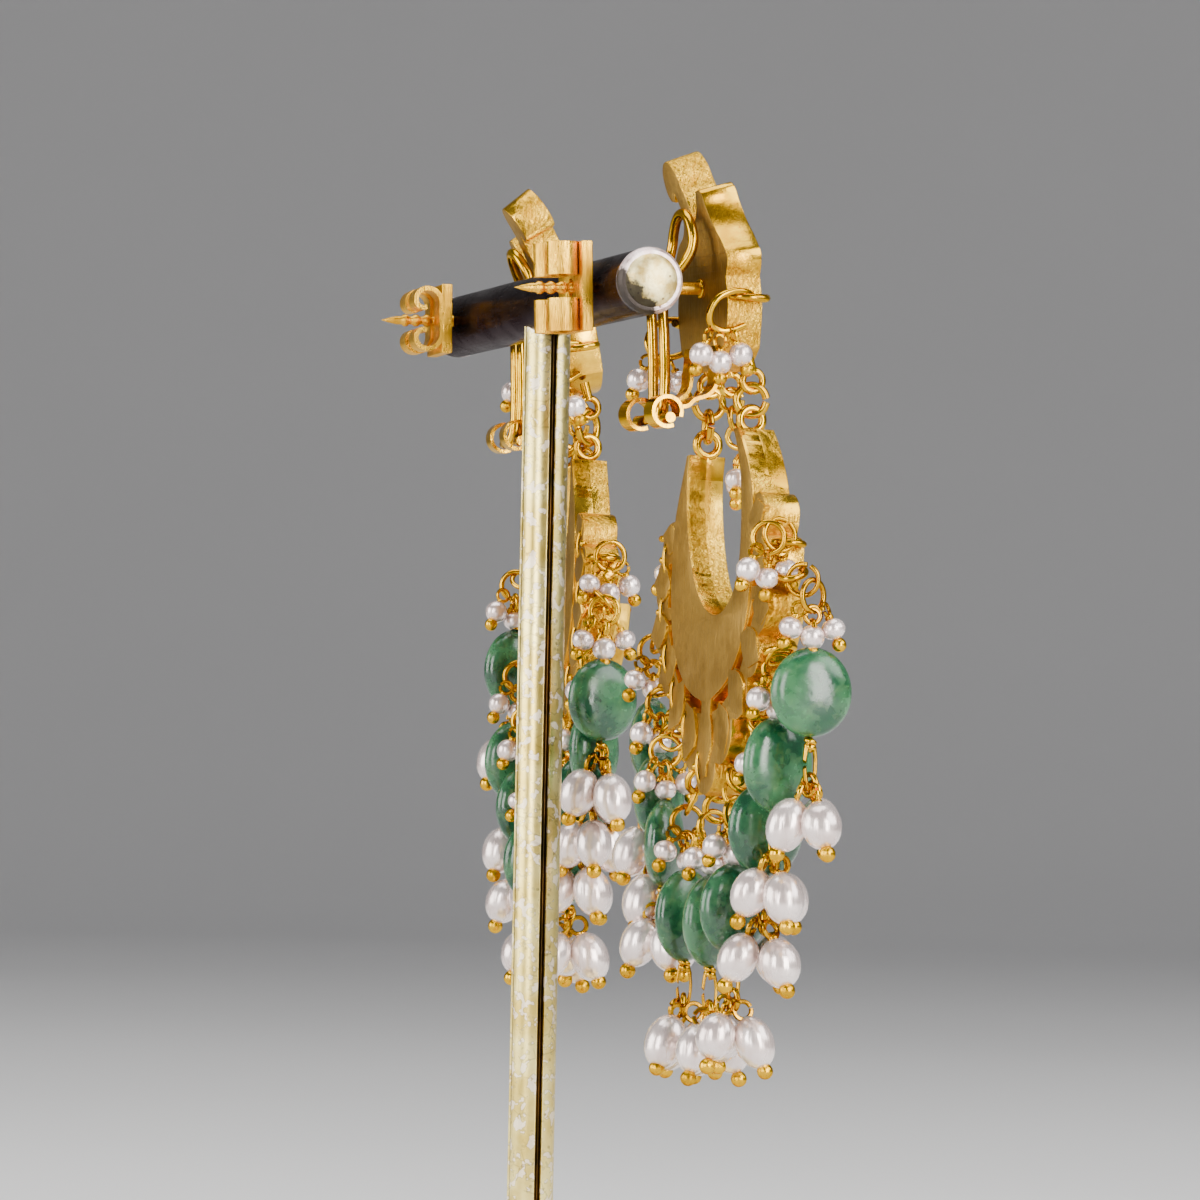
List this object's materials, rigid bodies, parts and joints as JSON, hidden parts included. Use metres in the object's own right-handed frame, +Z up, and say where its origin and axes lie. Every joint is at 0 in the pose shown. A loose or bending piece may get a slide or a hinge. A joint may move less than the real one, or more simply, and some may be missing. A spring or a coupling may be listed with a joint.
{
  "type": "chandbali earrings on a jewellery stand",
  "caption": "Gold crescent drop earrings with green beads and pearl clusters, hung by post and omega clip from the crossbar of a plain T-shaped display stand.",
  "frame": {"origin": "centre of the base's underside", "axes": "+Z up along the pole, X along the crossbar, the earrings face -Y"},
  "size_m": [0.0856, 0.06, 0.1117],
  "materials": {
    "gold": "polished gold plate, brushed backs",
    "stand_brass": "worn polished brass",
    "bar_metal": "dark polished metal",
    "cap_metal": "worn plating",
    "green_stone": "polished cloudy stone",
    "pearl": "pearl lustre"
  },
  "bodies": {
    "stand": {"stand_base": "stand_brass", "stand_pole": "stand_brass", "stand_bar": "bar_metal", "bar_cap_left": "cap_metal", "bar_cap_right": "cap_metal", "left_stud": "gold", "left_side_link_outer": "gold", "left_side_link_inner": "gold", "left_centre_drop": "gold", "right_stud": "gold", "right_side_link_outer": "gold", "right_side_link_inner": "gold", "right_centre_drop": "gold"},
    "left_pendant": {"left_crescent": "gold", "left_green_bead_1": "green_stone", "left_pearl_cluster_1": "pearl", "left_green_bead_2": "green_stone", "left_pearl_cluster_2": "pearl", "left_green_bead_3": "green_stone", "left_pearl_cluster_3": "pearl", "left_green_bead_4": "green_stone", "left_pearl_cluster_4": "pearl", "left_green_bead_5": "green_stone", "left_pearl_cluster_5": "pearl", "left_green_bead_6": "green_stone", "left_pearl_cluster_6": "pearl", "left_green_bead_7": "green_stone", "left_pearl_cluster_7": "pearl", "left_green_bead_8": "green_stone", "left_pearl_cluster_8": "pearl", "left_green_bead_9": "green_stone", "left_pearl_cluster_9": "pearl"},
    "left_ear_nut": {"left_ear_nut": "gold"},
    "left_clip": {"left_omega_clip": "gold"},
    "right_pendant": {"right_crescent": "gold", "right_green_bead_1": "green_stone", "right_pearl_cluster_1": "pearl", "right_green_bead_2": "green_stone", "right_pearl_cluster_2": "pearl", "right_green_bead_3": "green_stone", "right_pearl_cluster_3": "pearl", "right_green_bead_4": "green_stone", "right_pearl_cluster_4": "pearl", "right_green_bead_5": "green_stone", "right_pearl_cluster_5": "pearl", "right_green_bead_6": "green_stone", "right_pearl_cluster_6": "pearl", "right_green_bead_7": "green_stone", "right_pearl_cluster_7": "pearl", "right_green_bead_8": "green_stone", "right_pearl_cluster_8": "pearl", "right_green_bead_9": "green_stone", "right_pearl_cluster_9": "pearl"},
    "right_ear_nut": {"right_ear_nut": "gold"},
    "right_clip": {"right_omega_clip": "gold"}
  },
  "joints": [
    {"name": "left_pendant_swing", "type": "hinge", "parent": "stand", "child": "left_pendant", "pos_m": [-0.02332, -0.0087, 0.08865], "axis": [0.9823, 0.088, -0.1656], "range_deg": [-25, 25]},
    {"name": "left_clip_hinge", "type": "hinge", "parent": "stand", "child": "left_clip", "pos_m": [-0.02374, -0.00312, 0.08952], "axis": [0.9966, 0.0819, 0], "range_deg": [-0.5, 1.5]},
    {"name": "left_nut_slide", "type": "slide", "parent": "stand", "child": "left_ear_nut", "axis": [-0.0819, 0.996, -0.0349], "range_m": [0, 0.006]},
    {"name": "right_pendant_swing", "type": "hinge", "parent": "stand", "child": "right_pendant", "pos_m": [0.02362, -0.00773, 0.08874], "axis": [0.9979, -0.045, -0.0472], "range_deg": [-25, 25]},
    {"name": "right_clip_hinge", "type": "hinge", "parent": "stand", "child": "right_clip", "pos_m": [0.02386, -0.00294, 0.08947], "axis": [0.9989, -0.0471, 0], "range_deg": [-0.5, 0.8]},
    {"name": "right_nut_slide", "type": "slide", "parent": "stand", "child": "right_ear_nut", "axis": [0.0471, 0.9987, -0.0175], "range_m": [0, 0.006]}
  ]
}
